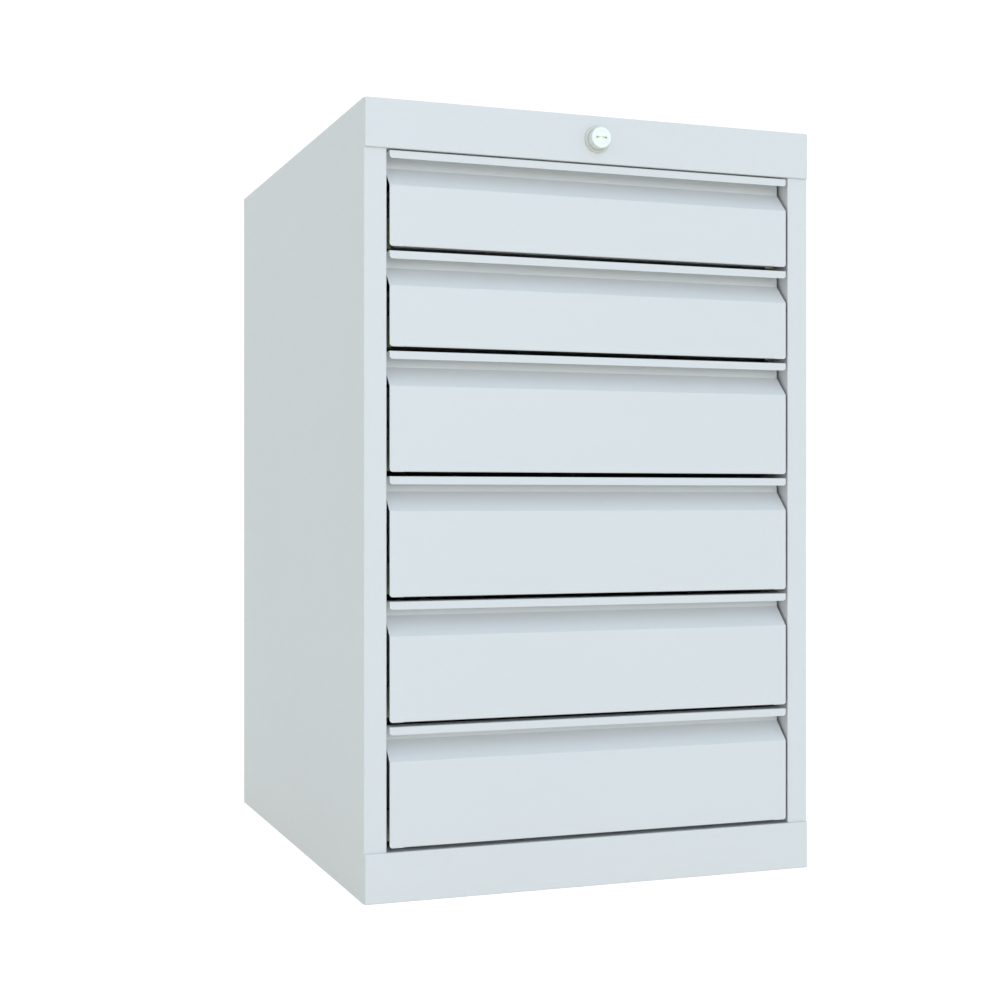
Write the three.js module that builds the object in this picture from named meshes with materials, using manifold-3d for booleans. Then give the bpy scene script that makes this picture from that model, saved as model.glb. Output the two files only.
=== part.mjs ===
// Flat file cabinet: a folded sheet-steel carcass with six drawers, each on a pair of three-member
// ball-bearing slides, and a push-button central lock that lifts a hooked bar behind the drawers.
// Millimetres. +X is the cabinet's right seen from the front, +Y runs from front to back, +Z is up.
import * as THREE from 'three';
import { mergeVertices } from 'three/addons/utils/BufferGeometryUtils.js';
import Module from 'manifold-3d';

// --- driving dimensions --------------------------------------------------------------------------
const WIDTH = 500;
const HEIGHT = 800;
const SIDE_DEPTH = 600;
const SHEET = 1;
const BACK_SHEET = 0.8;
const BEND_RADIUS = 0.8;
const GAP = 0.3;
const CUT = 0.1;

// The header and the plinth lie in front of the stiles and set the front plane, y = 0.
const STILE_Y = 2.7;
const STILE_WIDTH = 23.6;
const STILE_RETURN = 60;
const CAP_HALF_WIDTH = 249.35;
const HEADER_BOTTOM = 750.9;
const PLINTH_TOP = 50;
const LOWER_RETURN = 25;
const PANEL_FLANGE = 25;
const PANEL_CLEARANCE = 0.4;
const NOTCH_CLEARANCE = 4;
const FOOT_OVERHANG = 3;
const FOOT_SETBACK = 6;

// Drawers, counted from the top. The two upper ones are shallower.
const DRAWER_PITCHES = [100, 100, 125, 125, 125, 125];
const FIRST_DRAWER_TOP = 749.5;
const DRAWER_SPACING = 4.5;
const FRONT_HALF_WIDTH = 223.5;
const FRONT_Y = 1.9;
const LIP_HEIGHT = 8;
const LIP_CORNER = 3;
const GRIP_DEPTH = 19.5;
const GRIP_MOUTH = 7.2;
const GRIP_SLOPE_DROP = 27.1;
const HEM_HEIGHT = 8;
const HEM_SPACING = 1.7;
const FRONT_FOOT = 20;
const FOOT_HALF_WIDTH = 208.5;

// Trays hang between the slides; the sheets in them lie crosswise, 420 mm wide.
const TRAY_HALF_WIDTH = 213.1;
const TRAY_BACK_Y = 573;
const TRAY_FLOOR_LIFT = 2;
const TRAY_WALL_SHORTFALL = 40;
const TRAY_FRONT_SHORTFALL = 9;
const CATCH_HEIGHT = 40;
const CATCH_HALF_WIDTH = 12;
const CATCH_REACH = 14.7;
const CATCH_HOLE_HALF_WIDTH = 6;
const CATCH_HOLE = [5, 11.5];

// Slides: 35 mm high, 12.7 mm thick, fixed to the return flanges of the side panels. A reach is half
// the height of a member's centre line, and a depth is counted from the stile inwards.
const SLIDE_HEIGHT = 35;
const SLIDE_THICKNESS = 12.7;
const SLIDE_SHEET = 1.1;
const SLIDE_BEND = 0.9;
const SLIDE_FRONT_Y = 32;
const SLIDE_LENGTH = 550;
const SLIDE_DROP = 0.5;
const CABINET_RAIL_DEPTH = 7;
const CABINET_RAIL_LIP = 3;
const MIDDLE_LENGTH = 500;
const MIDDLE_REACH = 12.4;
const MIDDLE_DEPTHS = [2.9, 10.2];
const MIDDLE_LIP = 2.6;
const DRAWER_RAIL_REACH = 8;
const DRAWER_RAIL_DEPTH = 5;

// Lock: the plunger travels inwards and the bar behind the trays rises by the same amount.
const LOCK_Z = 775.5;
const LOCK_TRAVEL = 8;
const LOCK_HOLE_RADIUS = 13;
const SLEEVE_RADIUS = 12.7;
const SLEEVE_BACK_Y = 24;
const COLLAR_RADIUS = 14;
const COLLAR_FRONT_Y = -1.8;
const PLUNGER_RADIUS = 11;
const PLUNGER_CHAMFER = 0.8;
const PLUNGER_FRONT_Y = -12;
const PLUNGER_BACK_Y = 24.7;
const PLUG_BORE_BACK_Y = 8;
const KEY_PLUG_RADIUS = 7;
const KEY_SLOT = [11.8, 1.8, 10];

// Linkage: a rod under the top panel pushes a bell crank, which lifts the bar. Pairs are the two ends.
const ROD_HALF_WIDTH = 3;
const ROD_THICKNESS = 6;
const ROD_FOOT_HALF_WIDTH = 7;
const ROD_FOOT = 3;
const ROD_FOOT_RISE = 8;
const CRANK_ARM = 25;
const CRANK_PIVOT_Z = 781;
const CRANK_HUB_RADIUS = 6;
const CRANK_BORE_RADIUS = 2.4;
const PIN_RADIUS = 2;
const LOWER_ARM_HALF = 2.5;
const LOWER_ARM_HALF_THICKNESS = 1.5;
const REAR_ARM_HALF = 2;
const REAR_ARM_HALF_THICKNESS = 1.5;
const JOINT_CLEARANCE = 1.2;
const SADDLE_HALF = [16, 12];
const SADDLE_SHEET = 1.2;
const EAR_X = [5, 6.5];
const EAR_HALF = [8, 6];
const BAR_Y = 598;
const BAR_THICKNESS = 2.5;
const BAR_HALF_WIDTH = 9;
const BAR_END_CLEARANCE = 10;
const BAR_TOP_MARGIN = 7;
const BAR_SLOT_HALF_WIDTH = 3;
const BAR_SLOT = [-2.5, 4];
const HOOK_HALF_WIDTH = 4;
const HOOK_THICKNESS = 3;
const HOOK_TIP_INSET = 6.5;
const HOOK_OVERLAP = 1.5;
const GUIDE_LEVELS = [140, 640];
const GUIDE_HEIGHT = 14;
const GUIDE_SHEET = 1.2;
const GUIDE_PLAY = [1.5, 0.6];

const HALF_WIDTH = WIDTH / 2;
const STILE_INNER = HALF_WIDTH - STILE_WIDTH;
const SIDE_BACK_Y = STILE_Y + SIDE_DEPTH;
const BACK_Y = SIDE_BACK_Y + GAP;
const RAIL_FACE = STILE_INNER - GAP;
const TRAY_FRONT_Y = FRONT_Y + GRIP_DEPTH + SHEET + GAP;
const CRANK_PIVOT_Y = BAR_Y + BAR_THICKNESS / 2 - CRANK_ARM;
const ROD_BOTTOM = CRANK_PIVOT_Z - CRANK_ARM - ROD_THICKNESS / 2;

// --- finishes ------------------------------------------------------------------------------------
const powderCoat = { color: 0xdae3e8, roughness: 0.55, metalness: 0.0 };
const zincPlate = { color: 0x8f8d6a, roughness: 0.4, metalness: 0.85 };
const nickelPlate = { color: 0xe6e6e2, roughness: 0.22, metalness: 0.9 };

// --- solids --------------------------------------------------------------------------------------
const wasm = await Module();
wasm.setup();

function toSolid(geometry) {
  const bare = geometry.clone();
  bare.deleteAttribute('normal');
  bare.deleteAttribute('uv');
  const merged = mergeVertices(bare);
  return new wasm.Manifold(new wasm.Mesh({
    numProp: 3,
    vertProperties: new Float32Array(merged.attributes.position.array),
    triVerts: new Uint32Array(merged.index.array),
  }));
}

function toGeometry(solid) {
  const mesh = solid.getMesh();
  const geometry = new THREE.BufferGeometry();
  geometry.setAttribute('position', new THREE.Float32BufferAttribute(mesh.vertProperties, 3));
  geometry.setIndex(Array.from(mesh.triVerts));
  return geometry;
}

function join(...geometries) {
  return toGeometry(geometries.map(toSolid).reduce((whole, piece) => whole.add(piece)));
}

function cut(geometry, ...tools) {
  return toGeometry(tools.map(toSolid).reduce((whole, tool) => whole.subtract(tool), toSolid(geometry)));
}

// A block from its two ends on each axis, given in either order.
function block([x0, x1], [y0, y1], [z0, z1]) {
  const geometry = new THREE.BoxGeometry(Math.abs(x1 - x0), Math.abs(y1 - y0), Math.abs(z1 - z0));
  return geometry.translate((x0 + x1) / 2, (y0 + y1) / 2, (z0 + z1) / 2);
}

const AXIS = { x: new THREE.Vector3(1, 0, 0), y: new THREE.Vector3(0, 1, 0), z: new THREE.Vector3(0, 0, 1) };

// Pushes an outline along one axis. The outline is drawn in (y, z) for x, (z, x) for y, (x, y) for z.
function extrudeAlong(axis, outline, from, to) {
  const [u, v] = { x: ['y', 'z'], y: ['z', 'x'], z: ['x', 'y'] }[axis];
  const settings = { depth: to - from, bevelEnabled: false };
  const geometry = new THREE.ExtrudeGeometry(new THREE.Shape(outline), settings);
  geometry.translate(0, 0, from);
  return geometry.applyMatrix4(new THREE.Matrix4().makeBasis(AXIS[u], AXIS[v], AXIS[axis]));
}

// Outline of a bent strip of sheet: corners are its centre line, and each bend is an arc.
function bentSheet(corners, thickness = SHEET, radius = BEND_RADIUS, steps = 3) {
  const points = corners.map(([u, v]) => new THREE.Vector2(u, v));
  const line = [];
  points.forEach((corner, i) => {
    const before = (points[i - 1] ?? corner).clone().sub(corner).normalize();
    const after = (points[i + 1] ?? corner).clone().sub(corner).normalize();
    if (i === 0 || i === points.length - 1) {
      const along = i === 0 ? after : before.clone().negate();
      line.push({ point: corner, normal: new THREE.Vector2(-along.y, along.x) });
      return;
    }
    const halfAngle = Math.acos(before.dot(after)) / 2;
    const turnsLeft = after.cross(before) > 0;
    const inwards = before.clone().add(after).normalize();
    const centre = corner.clone().addScaledVector(inwards, radius / Math.sin(halfAngle));
    const start = corner.clone().addScaledVector(before, radius / Math.tan(halfAngle)).sub(centre);
    const sweep = (turnsLeft ? 1 : -1) * (Math.PI - 2 * halfAngle);
    for (let step = 0; step <= steps; step++) {
      const arm = start.clone().rotateAround(new THREE.Vector2(), sweep * step / steps);
      const normal = arm.clone().divideScalar(turnsLeft ? -radius : radius);
      line.push({ point: centre.clone().add(arm), normal });
    }
  });
  const offset = (shift) => line.map(({ point, normal }) => point.clone().addScaledVector(normal, shift));
  return [...offset(thickness / 2), ...offset(-thickness / 2).reverse()];
}

// --- the assembly --------------------------------------------------------------------------------
const cabinet = new THREE.Group();

function place(name, geometry, finish) {
  const mesh = new THREE.Mesh(geometry, new THREE.MeshStandardMaterial(finish));
  mesh.name = name;
  cabinet.add(mesh);
}

// Side panel: one sheet folded into the front stile, the outer skin and the rear stile. Both stiles
// turn back inside the cabinet, where the slides are fixed to them. A foot flange runs along the floor,
// and the stiles stop below the top so that its plate lies between the two skins.
function sidePanel(side) {
  const skin = HALF_WIDTH - SHEET / 2;
  const flange = STILE_INNER + SHEET / 2;
  const front = STILE_Y + SHEET / 2;
  const back = SIDE_BACK_Y - SHEET / 2;
  const section = bentSheet([
    [side * flange, back - STILE_RETURN],
    [side * flange, back],
    [side * skin, back],
    [side * skin, front],
    [side * flange, front],
    [side * flange, front + STILE_RETURN],
  ]);
  const shell = extrudeAlong('z', section, 0, HEIGHT);
  const foot = block(
    [side * skin, side * (flange + FOOT_OVERHANG)], [front + FOOT_SETBACK, back - FOOT_SETBACK], [0, SHEET]);
  const stileTop = HEIGHT - SHEET - PANEL_CLEARANCE;
  const topNotch = block([side * (HALF_WIDTH - SHEET - CUT), 0], [0, BACK_Y], [stileTop, HEIGHT + CUT]);
  return cut(join(shell, foot), topNotch);
}

// Thin rim that closes the outer ends of the header and the plinth where they lie over the stiles.
function capRim(low, high) {
  const half = CAP_HALF_WIDTH;
  const face = block([-half, half], [0, STILE_Y - GAP], [low, high]);
  const inside = block([SHEET - half, half - SHEET], [SHEET, STILE_Y], [low + SHEET, high - SHEET]);
  return cut(face, inside);
}

// A plate that reaches from skin to skin, with a flange down each of its long edges.
function plateWithFlanges([front, back], [flangeFront, flangeBack], level) {
  const half = HALF_WIDTH - SHEET - GAP;
  const heights = [level - PANEL_FLANGE, level - SHEET / 2];
  const plate = block([-half, half], [front, back], [level - SHEET, level]);
  const flanges = [-1, 1].map((side) => block(
    [side * (half - SHEET), side * half], [flangeFront, flangeBack], heights));
  return [plate, ...flanges];
}

// Top panel: the plate, the header in front with its return below, a flange along each side and one behind.
function topPanel() {
  const level = HEIGHT - SHEET / 2;
  const rearFace = SIDE_BACK_Y - SHEET / 2;
  const between = STILE_INNER - PANEL_CLEARANCE;
  const section = bentSheet([
    [LOWER_RETURN, HEADER_BOTTOM + SHEET / 2],
    [SHEET / 2, HEADER_BOTTOM + SHEET / 2],
    [SHEET / 2, level],
    [rearFace, level],
    [rearFace, HEIGHT - PANEL_FLANGE],
  ]);
  const middle = extrudeAlong('x', section, -between, between);
  const inner = [STILE_Y + FOOT_SETBACK, SIDE_BACK_Y - FOOT_SETBACK];
  const plates = plateWithFlanges([SHEET, rearFace - SHEET], inner, HEIGHT);
  const hole = new THREE.CylinderGeometry(LOCK_HOLE_RADIUS, LOCK_HOLE_RADIUS, 8, 32).translate(0, 0, LOCK_Z);
  return cut(join(middle, ...plates, capRim(HEADER_BOTTOM, HEIGHT)), hole);
}

// Base panel: the plinth, the floor plate of the cabinet and a rear leg, with returns along the floor.
function basePanel() {
  const level = PLINTH_TOP - SHEET / 2;
  const foot = SHEET / 2;
  const rearFace = SIDE_BACK_Y - SHEET / 2;
  const between = STILE_INNER - PANEL_CLEARANCE;
  const section = bentSheet([
    [LOWER_RETURN, foot],
    [SHEET / 2, foot],
    [SHEET / 2, level],
    [rearFace, level],
    [rearFace, foot],
    [rearFace - LOWER_RETURN, foot],
  ]);
  const middle = extrudeAlong('x', section, -between, between);
  const notch = STILE_RETURN + NOTCH_CLEARANCE;
  const wing = [STILE_Y + notch, SIDE_BACK_Y - notch];
  return join(middle, ...plateWithFlanges(wing, wing, PLINTH_TOP), capRim(0, PLINTH_TOP));
}

// Back panel: a flat sheet over the rear stiles, with two bridges that guide the locking bar.
function backPanel() {
  const half = HALF_WIDTH - 2 * GAP;
  const sheet = block([-half, half], [BACK_Y, BACK_Y + BACK_SHEET], [SHEET, HEIGHT - 2 * GAP]);
  const [playX, playY] = GUIDE_PLAY;
  const innerHalf = BAR_HALF_WIDTH + playX;
  const outerHalf = innerHalf + GUIDE_SHEET;
  const bridges = GUIDE_LEVELS.map((low) => cut(
    block([-outerHalf, outerHalf], [BAR_Y - playY - GUIDE_SHEET, BACK_Y + CUT], [low, low + GUIDE_HEIGHT]),
    block([-innerHalf, innerHalf], [BAR_Y - playY, BACK_Y - CUT], [low - CUT, low + GUIDE_HEIGHT + CUT])));
  return join(sheet, ...bridges);
}

// Drawer front: one sheet folded across its whole width. The foot comes forward and down into a hem along
// the lower edge. From there the sheet rises as the face, leans back at 45 degrees, stands up as the back
// of the grip and returns forwards to the lip that the fingers pull. The hem and the foot stop short of
// the slides, and the free corners of the face and of the lip are rounded.
function drawerFront(bottom, top) {
  const face = FRONT_Y + SHEET / 2;
  const gripBack = face + GRIP_DEPTH;
  const lipBottom = top - LIP_HEIGHT;
  const footLevel = bottom + HEM_HEIGHT + SHEET / 2;
  const section = bentSheet([
    [gripBack, footLevel + FRONT_FOOT],
    [gripBack, footLevel],
    [face + HEM_SPACING, footLevel],
    [face + HEM_SPACING, bottom + SHEET / 2],
    [face, bottom + SHEET / 2],
    [face, lipBottom - GRIP_SLOPE_DROP],
    [gripBack, lipBottom - GRIP_MOUTH],
    [gripBack, top - SHEET / 2],
    [face, top - SHEET / 2],
    [face, lipBottom],
  ]);
  const folded = extrudeAlong('x', section, -FRONT_HALF_WIDTH, FRONT_HALF_WIDTH);
  const cutters = [-1, 1].flatMap((side) => [
    block(
      [side * FOOT_HALF_WIDTH, side * HALF_WIDTH], [FRONT_Y + SHEET, gripBack + SHEET],
      [bottom - SHEET, footLevel + FRONT_FOOT + SHEET]),
    cornerCutter(side, bottom),
    cornerCutter(side, lipBottom),
  ]);
  return cut(folded, ...cutters);
}

// What a rounded lower corner of the face or the lip takes away: a square less a quarter disc.
function cornerCutter(side, low) {
  const x = side * (FRONT_HALF_WIDTH - LIP_CORNER);
  const z = low + LIP_CORNER;
  const past = LIP_CORNER + SHEET;
  const square = block([x, x + side * past], [FRONT_Y - SHEET, FRONT_Y + SHEET + CUT], [z, z - past]);
  const disc = new THREE.CylinderGeometry(LIP_CORNER, LIP_CORNER, 6 * SHEET, 24).translate(x, FRONT_Y, z);
  return cut(square, disc);
}

// Tray: an open steel box whose front wall backs the drawer front. A tab with a hole behind it is what
// the locking bar's hook holds.
function drawerTray(bottom, top) {
  const floor = bottom + TRAY_FLOOR_LIFT;
  const wallTop = top - TRAY_WALL_SHORTFALL + DRAWER_SPACING;
  const frontTop = top - TRAY_FRONT_SHORTFALL + DRAWER_SPACING;
  const half = TRAY_HALF_WIDTH;
  const hollow = half - SHEET;
  const inner = [TRAY_FRONT_Y + SHEET, TRAY_BACK_Y - SHEET];
  const box = block([-half, half], [TRAY_FRONT_Y, TRAY_BACK_Y], [floor, frontTop]);
  const inside = block([-hollow, hollow], inner, [floor + SHEET, frontTop + SHEET]);
  const aboveWalls = block(
    [-half - SHEET, half + SHEET], [TRAY_FRONT_Y + SHEET, TRAY_BACK_Y + SHEET], [wallTop, frontTop + SHEET]);
  const level = bottom + CATCH_HEIGHT;
  const tab = block(
    [-CATCH_HALF_WIDTH, CATCH_HALF_WIDTH], [TRAY_BACK_Y - SHEET / 2, TRAY_BACK_Y + CATCH_REACH],
    [level, level + SHEET]);
  const hole = block(
    [-CATCH_HOLE_HALF_WIDTH, CATCH_HOLE_HALF_WIDTH], CATCH_HOLE.map((reach) => TRAY_BACK_Y + reach),
    [level - SHEET, level + 2 * SHEET]);
  return cut(join(cut(box, inside, aboveWalls), tab), hole);
}

// The three members of a slide are channels, one inside the other.
function slideMember(side, centreZ, shape, length) {
  const across = (depth) => side * (RAIL_FACE - depth);
  const corners = shape.map(([height, depth]) => [centreZ + height, across(depth)]);
  const outline = bentSheet(corners, SLIDE_SHEET, SLIDE_BEND, 2);
  return extrudeAlong('y', outline, SLIDE_FRONT_Y, SLIDE_FRONT_Y + length);
}

// A channel whose two flanges end in lips that hold the balls.
function lippedMember(side, centreZ, reach, [web, edge], lip, length) {
  return slideMember(side, centreZ, [
    [reach - lip, edge], [reach, edge], [reach, web], [-reach, web], [-reach, edge], [lip - reach, edge],
  ], length);
}

function cabinetRail(side, centreZ) {
  const reach = (SLIDE_HEIGHT - SLIDE_SHEET) / 2;
  const depths = [SLIDE_SHEET / 2, CABINET_RAIL_DEPTH];
  return lippedMember(side, centreZ, reach, depths, CABINET_RAIL_LIP, SLIDE_LENGTH);
}

function middleRail(side, centreZ) {
  return lippedMember(side, centreZ, MIDDLE_REACH, MIDDLE_DEPTHS, MIDDLE_LIP, MIDDLE_LENGTH);
}

function drawerRail(side, centreZ) {
  const reach = DRAWER_RAIL_REACH;
  const edge = DRAWER_RAIL_DEPTH;
  const web = SLIDE_THICKNESS - SLIDE_SHEET / 2;
  const shape = [[reach, edge], [reach, web], [-reach, web], [-reach, edge]];
  return slideMember(side, centreZ, shape, SLIDE_LENGTH);
}

// Ring or disc turned about the lock's axis, from its outline in (radius, y).
function turned(outline) {
  const points = outline.map(([radius, y]) => new THREE.Vector2(radius, y));
  return new THREE.LatheGeometry(points, 32).translate(0, 0, LOCK_Z);
}

// Lock housing: a sleeve through the header with a collar in front of it.
function lockHousing() {
  const bore = PLUNGER_RADIUS + GAP;
  return turned([
    [bore, SLEEVE_BACK_Y], [bore, COLLAR_FRONT_Y], [COLLAR_RADIUS, COLLAR_FRONT_Y], [COLLAR_RADIUS, -GAP],
    [SLEEVE_RADIUS, -GAP], [SLEEVE_RADIUS, SLEEVE_BACK_Y], [bore, SLEEVE_BACK_Y],
  ]);
}

// Plunger: the push button, bored for the plug that the key turns.
function lockPlunger() {
  const bore = KEY_PLUG_RADIUS + GAP;
  const front = PLUNGER_FRONT_Y;
  return turned([
    [0, PLUG_BORE_BACK_Y], [bore, PLUG_BORE_BACK_Y], [bore, front], [PLUNGER_RADIUS - PLUNGER_CHAMFER, front],
    [PLUNGER_RADIUS, front + PLUNGER_CHAMFER], [PLUNGER_RADIUS, PLUNGER_BACK_Y], [0, PLUNGER_BACK_Y],
  ]);
}

function keyPlug() {
  const front = PLUNGER_FRONT_Y;
  const back = PLUG_BORE_BACK_Y - GAP;
  const plug = turned([[0, front], [KEY_PLUG_RADIUS, front], [KEY_PLUG_RADIUS, back], [0, back]]);
  const [width, height, depth] = KEY_SLOT;
  const keyway = block(
    [-width / 2, width / 2], [front - CUT, front + depth], [LOCK_Z - height / 2, LOCK_Z + height / 2]);
  return cut(plug, keyway);
}

// Push rod: a foot behind the plunger, and a square rod that runs back under the top panel.
function pushRod() {
  const footFront = PLUNGER_BACK_Y + GAP;
  const footBack = footFront + ROD_FOOT;
  const crankFace = CRANK_PIVOT_Y - LOWER_ARM_HALF_THICKNESS - JOINT_CLEARANCE;
  const foot = block(
    [-ROD_FOOT_HALF_WIDTH, ROD_FOOT_HALF_WIDTH], [footFront, footBack], [ROD_BOTTOM, LOCK_Z + ROD_FOOT_RISE]);
  const rod = block(
    [-ROD_HALF_WIDTH, ROD_HALF_WIDTH], [footBack - SHEET, crankFace],
    [ROD_BOTTOM, ROD_BOTTOM + ROD_THICKNESS]);
  return join(foot, rod);
}

// A round pin or hole along the crank's pivot.
function aboutPivot(radius, length) {
  const round = new THREE.CylinderGeometry(radius, radius, length, 24).rotateZ(Math.PI / 2);
  return round.translate(0, CRANK_PIVOT_Y, CRANK_PIVOT_Z);
}

// Bell crank: the rod pushes its lower arm and its rear arm lifts the locking bar.
function bellCrank() {
  const hubWidth = 2 * ROD_HALF_WIDTH;
  const lowerArm = block(
    [-LOWER_ARM_HALF, LOWER_ARM_HALF],
    [CRANK_PIVOT_Y - LOWER_ARM_HALF_THICKNESS, CRANK_PIVOT_Y + LOWER_ARM_HALF_THICKNESS],
    [CRANK_PIVOT_Z - CRANK_ARM - REAR_ARM_HALF, CRANK_PIVOT_Z]);
  const rearArm = block(
    [-REAR_ARM_HALF, REAR_ARM_HALF],
    [CRANK_PIVOT_Y, BAR_Y + BAR_THICKNESS + GAP + CUT],
    [CRANK_PIVOT_Z - REAR_ARM_HALF_THICKNESS, CRANK_PIVOT_Z + REAR_ARM_HALF_THICKNESS]);
  const body = join(aboutPivot(CRANK_HUB_RADIUS, hubWidth), lowerArm, rearArm);
  return cut(body, aboutPivot(CRANK_BORE_RADIUS, hubWidth + 2 * SHEET));
}

// Crank bracket: a saddle under the top panel with the crank's pivot pin across its two ears.
function crankBracket() {
  const underTop = HEIGHT - SHEET - GAP;
  const [saddleX, saddleY] = SADDLE_HALF;
  const [earY, earDrop] = EAR_HALF;
  const saddle = block(
    [-saddleX, saddleX], [CRANK_PIVOT_Y - saddleY, CRANK_PIVOT_Y + saddleY],
    [underTop - SADDLE_SHEET, underTop]);
  const ears = [-1, 1].map((side) => block(
    EAR_X.map((x) => side * x), [CRANK_PIVOT_Y - earY, CRANK_PIVOT_Y + earY],
    [CRANK_PIVOT_Z - earDrop, underTop - SADDLE_SHEET / 2]));
  return join(saddle, ...ears, aboutPivot(PIN_RADIUS, 2 * EAR_X[1] - SHEET));
}

// Locking bar: a flat strip behind the trays with a slot for the crank and one hook for each drawer.
function lockingBar(drawerBottoms) {
  const strip = block(
    [-BAR_HALF_WIDTH, BAR_HALF_WIDTH], [BAR_Y, BAR_Y + BAR_THICKNESS],
    [PLINTH_TOP + BAR_END_CLEARANCE, CRANK_PIVOT_Z + BAR_TOP_MARGIN]);
  const slot = block(
    [-BAR_SLOT_HALF_WIDTH, BAR_SLOT_HALF_WIDTH], [BAR_Y - SHEET, BAR_Y + BAR_THICKNESS + SHEET],
    BAR_SLOT.map((rise) => CRANK_PIVOT_Z + rise));
  const tipFront = TRAY_BACK_Y + HOOK_TIP_INSET;
  const width = [-HOOK_HALF_WIDTH, HOOK_HALF_WIDTH];
  const hooks = drawerBottoms.flatMap((bottom) => {
    const catchLevel = bottom + CATCH_HEIGHT;
    const armLow = catchLevel - LOCK_TRAVEL - HOOK_THICKNESS - HOOK_OVERLAP;
    return [
      block(width, [tipFront, BAR_Y + SHEET], [armLow, armLow + HOOK_THICKNESS]),
      block(width, [tipFront, tipFront + HOOK_THICKNESS], [armLow, catchLevel - HOOK_OVERLAP]),
    ];
  });
  return join(cut(strip, slot), ...hooks);
}

for (const [name, side] of [['left', -1], ['right', 1]]) {
  place(`${name}_side_panel`, sidePanel(side), powderCoat);
}
place('top_panel', topPanel(), powderCoat);
place('base_panel', basePanel(), powderCoat);
place('back_panel', backPanel(), powderCoat);

const drawerBottoms = [];
let drawerTop = FIRST_DRAWER_TOP;
DRAWER_PITCHES.forEach((pitch, index) => {
  const number = index + 1;
  const bottom = drawerTop - pitch + DRAWER_SPACING;
  drawerBottoms.push(bottom);
  place(`drawer_front_${number}`, drawerFront(bottom, drawerTop), powderCoat);
  place(`drawer_tray_${number}`, drawerTray(bottom, drawerTop), powderCoat);
  const slideCentre = bottom - SLIDE_DROP + SLIDE_HEIGHT / 2;
  for (const [name, side] of [['left', -1], ['right', 1]]) {
    place(`cabinet_rail_${name}_${number}`, cabinetRail(side, slideCentre), zincPlate);
    place(`middle_rail_${name}_${number}`, middleRail(side, slideCentre), zincPlate);
    place(`drawer_rail_${name}_${number}`, drawerRail(side, slideCentre), zincPlate);
  }
  drawerTop -= pitch;
});

place('lock_housing', lockHousing(), nickelPlate);
place('lock_plunger', lockPlunger(), nickelPlate);
place('key_plug', keyPlug(), nickelPlate);
place('push_rod', pushRod(), zincPlate);
place('bell_crank', bellCrank(), zincPlate);
place('crank_bracket', crankBracket(), zincPlate);
place('locking_bar', lockingBar(drawerBottoms), zincPlate);

// The origin is at the middle of the footprint, on the floor.
cabinet.position.y = -(PLUNGER_FRONT_Y + BACK_Y + BACK_SHEET) / 2;

export default cabinet;
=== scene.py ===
import math

import bmesh
import bpy
from mathutils import Matrix, Vector
from mathutils.geometry import delaunay_2d_cdt


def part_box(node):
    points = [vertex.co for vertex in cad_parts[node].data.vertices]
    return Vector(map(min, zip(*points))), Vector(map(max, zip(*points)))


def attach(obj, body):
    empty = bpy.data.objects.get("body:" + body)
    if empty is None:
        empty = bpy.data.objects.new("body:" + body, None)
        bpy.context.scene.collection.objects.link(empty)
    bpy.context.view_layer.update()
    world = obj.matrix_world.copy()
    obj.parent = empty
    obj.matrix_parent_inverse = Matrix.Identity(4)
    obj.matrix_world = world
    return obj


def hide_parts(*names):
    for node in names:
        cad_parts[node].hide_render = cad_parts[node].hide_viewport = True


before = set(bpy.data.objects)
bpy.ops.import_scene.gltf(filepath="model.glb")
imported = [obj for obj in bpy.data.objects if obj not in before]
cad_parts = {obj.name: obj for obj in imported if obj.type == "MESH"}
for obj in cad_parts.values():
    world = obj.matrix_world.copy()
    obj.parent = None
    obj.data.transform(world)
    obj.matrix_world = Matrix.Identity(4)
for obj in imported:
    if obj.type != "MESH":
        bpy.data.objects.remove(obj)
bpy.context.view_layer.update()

# ---- Viewpoint ------------------------------------------------------------------------------------
# A 60 mm lens, level and at half the cabinet's height, 20 degrees round to its left side.
header_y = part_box("top_panel")[0].y
camera = bpy.data.objects.new("camera", bpy.data.cameras.new("camera"))
camera.data.lens = 60
camera.data.sensor_width = 36
camera.location = (-0.6881, header_y - 1.5933, 0.4008)
camera.rotation_euler = (math.radians(90), 0, math.radians(-20.02))
bpy.context.scene.collection.objects.link(camera)
bpy.context.scene.camera = camera

# ---- Side panels ----------------------------------------------------------------------------------
# Each side is one blank of 1 mm steel. Its front and back edges are folded in to make the stiles, and
# turned back once more inside, where the slides are screwed on. The skin stands above the stiles by
# the thickness of the top. An angle welded along the bottom gives it a foot on the floor.
SHEET = 0.001
BEND = 0.0008
STILE_RETURN = 0.060
STILE_TO_TOP = 0.0004
ANGLE_HEIGHT = 0.03
ANGLE_INSET = 0.006
EDGE = 0.00018


def node(tree, kind, sockets=None, **settings):
    """Adds a node; a socket's value is a number, a colour or another node's output."""
    made = tree.nodes.new(kind)
    for key, value in settings.items():
        setattr(made, key, value)
    for key, value in (sockets or {}).items():
        if isinstance(value, bpy.types.NodeSocket):
            tree.links.new(value, made.inputs[key])
        else:
            made.inputs[key].default_value = value
    return made


def calculate(tree, operation, first, second=0.0, clamp=False):
    made = node(tree, "ShaderNodeMath", {0: first, 1: second}, operation=operation, use_clamp=clamp)
    return made.outputs[0]


def noise(tree, where, scale, detail=2.0):
    made = node(tree, "ShaderNodeTexNoise", {"Vector": where, "Scale": scale, "Detail": detail})
    return made.outputs["Fac"]


def mixed_colour(tree, share, first, second):
    made = node(tree, "ShaderNodeMix", {0: share, 6: first, 7: second}, data_type="RGBA")
    return made.outputs[2]


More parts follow.
